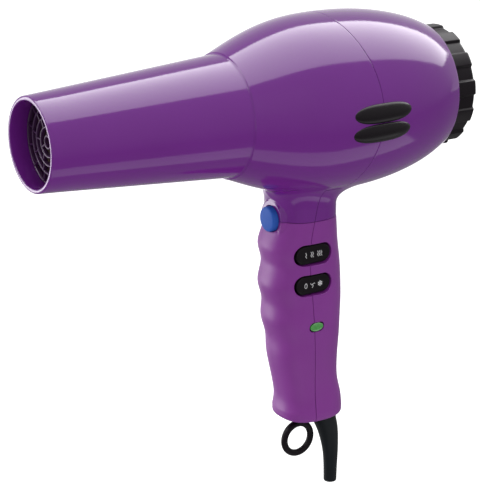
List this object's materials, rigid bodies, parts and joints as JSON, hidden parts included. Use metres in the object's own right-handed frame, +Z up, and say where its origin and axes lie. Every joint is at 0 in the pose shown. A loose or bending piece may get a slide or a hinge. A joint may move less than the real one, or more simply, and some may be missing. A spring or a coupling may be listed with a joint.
{
  "type": "hair dryer",
  "caption": "Pistol-grip hair dryer with a tapered barrel, round body, contoured handle, side rockers, a cool-shot button, a hanging loop and a strain relief boot.",
  "frame": {"origin": "centre of the hand grip, on the handle's mid-plane", "axes": "+Z up along the grip to the barrel, -X along the barrel to the outlet, -Y to the side with the rockers"},
  "size_m": [0.239, 0.0932, 0.2581],
  "materials": {
    "gloss_purple": "high gloss pearl purple",
    "satin_purple": "fine satin purple",
    "dark_purple": "satin moulding",
    "black_plastic": "satin black",
    "pad_black": "semi-gloss black",
    "soft_black": "smooth rubber",
    "carbon": "dull dark",
    "blue_button": "smooth blue",
    "green_lens": "translucent green",
    "lamp": "clear green",
    "steel": "plated",
    "bronze": "machined",
    "winding": "varnished copper windings",
    "nichrome": "oxidised wire",
    "mica": "mica sheet",
    "screen": "fine woven mesh",
    "board_green": "solder resist",
    "cream": "moulded",
    "wire_black": "insulation"
  },
  "bodies": {
    "housing": {"front_barrel": "gloss_purple", "body_front_shell": "gloss_purple", "body_rear_shell": "gloss_purple", "handle_front_shell": "satin_purple", "handle_rear_shell": "satin_purple", "outlet_grille": "dark_purple", "side_pad_upper_left": "pad_black", "side_pad_lower_left": "pad_black", "side_pad_upper_right": "pad_black", "side_pad_lower_right": "pad_black", "cool_shot_switch": "black_plastic", "cool_shot_spring": "steel", "heat_switch": "black_plastic", "speed_switch": "black_plastic", "indicator_lens": "green_lens", "indicator_lamp": "lamp", "strain_relief_boot": "soft_black", "cord_clamp": "cream", "clamp_screw_1": "steel", "clamp_screw_2": "steel", "handle_screw": "steel", "control_board": "board_green", "suppression_capacitor": "cream", "stator_duct": "dark_purple", "isolator_front": "soft_black", "isolator_rear": "soft_black", "motor_can": "steel", "motor_end_bell": "black_plastic", "bearing_front": "bronze", "bearing_rear": "bronze", "brush_upper": "carbon", "brush_lower": "carbon", "magnet_left": "carbon", "magnet_right": "carbon", "mica_tube": "mica", "mica_board_upright": "mica", "mica_board_level": "mica", "heating_coil_front": "nichrome", "heating_coil_rear": "nichrome", "thermostat": "steel", "thermal_fuse": "steel", "motor_wire": "wire_black", "heater_wire_high": "cream", "heater_wire_low": "cream"},
    "rotor": {"motor_shaft": "steel", "commutator": "bronze", "armature": "winding", "fan_impeller": "black_plastic"},
    "heat_rocker": {"heat_rocker": "black_plastic"},
    "speed_rocker": {"speed_rocker": "black_plastic"},
    "cool_shot_button": {"cool_shot_button": "blue_button"},
    "hang_loop": {"hang_loop": "black_plastic"},
    "filter_insert": {"rear_grille": "black_plastic", "filter_screen": "screen"},
    "filter_cap_ring": {"filter_cap_ring": "black_plastic"}
  },
  "joints": [
    {"name": "fan_spin", "type": "hinge", "parent": "housing", "child": "rotor", "pos_m": [0.041, 0, 0.108], "axis": [1, 0, 0], "continuous": true},
    {"name": "heat_tilt", "type": "hinge", "parent": "housing", "child": "heat_rocker", "pos_m": [-0.0036, -0.0134, 0.0337], "axis": [0, 0, 1], "range_deg": [-5.5, 5.5]},
    {"name": "speed_tilt", "type": "hinge", "parent": "housing", "child": "speed_rocker", "pos_m": [-0.0034, -0.0134, 0.0175], "axis": [0, 0, 1], "range_deg": [-5.5, 5.5]},
    {"name": "cool_shot_press", "type": "slide", "parent": "housing", "child": "cool_shot_button", "axis": [1, 0, 0], "range_m": [0, 0.0022], "stiffness_N_per_m": 700, "springref_m": -0.001, "deforming": ["cool_shot_spring"]},
    {"name": "loop_swivel", "type": "hinge", "parent": "housing", "child": "hang_loop", "pos_m": [-0.0009, 0, -0.06], "axis": [0, 0, 1], "continuous": true},
    {"name": "filter_pull", "type": "slide", "parent": "housing", "child": "filter_insert", "axis": [1, 0, 0], "range_m": [0, 0.03]},
    {"name": "cap_twist", "type": "hinge", "parent": "filter_insert", "child": "filter_cap_ring", "pos_m": [0.08, 0, 0.108], "axis": [1, 0, 0], "range_deg": [0, 20]}
  ]
}
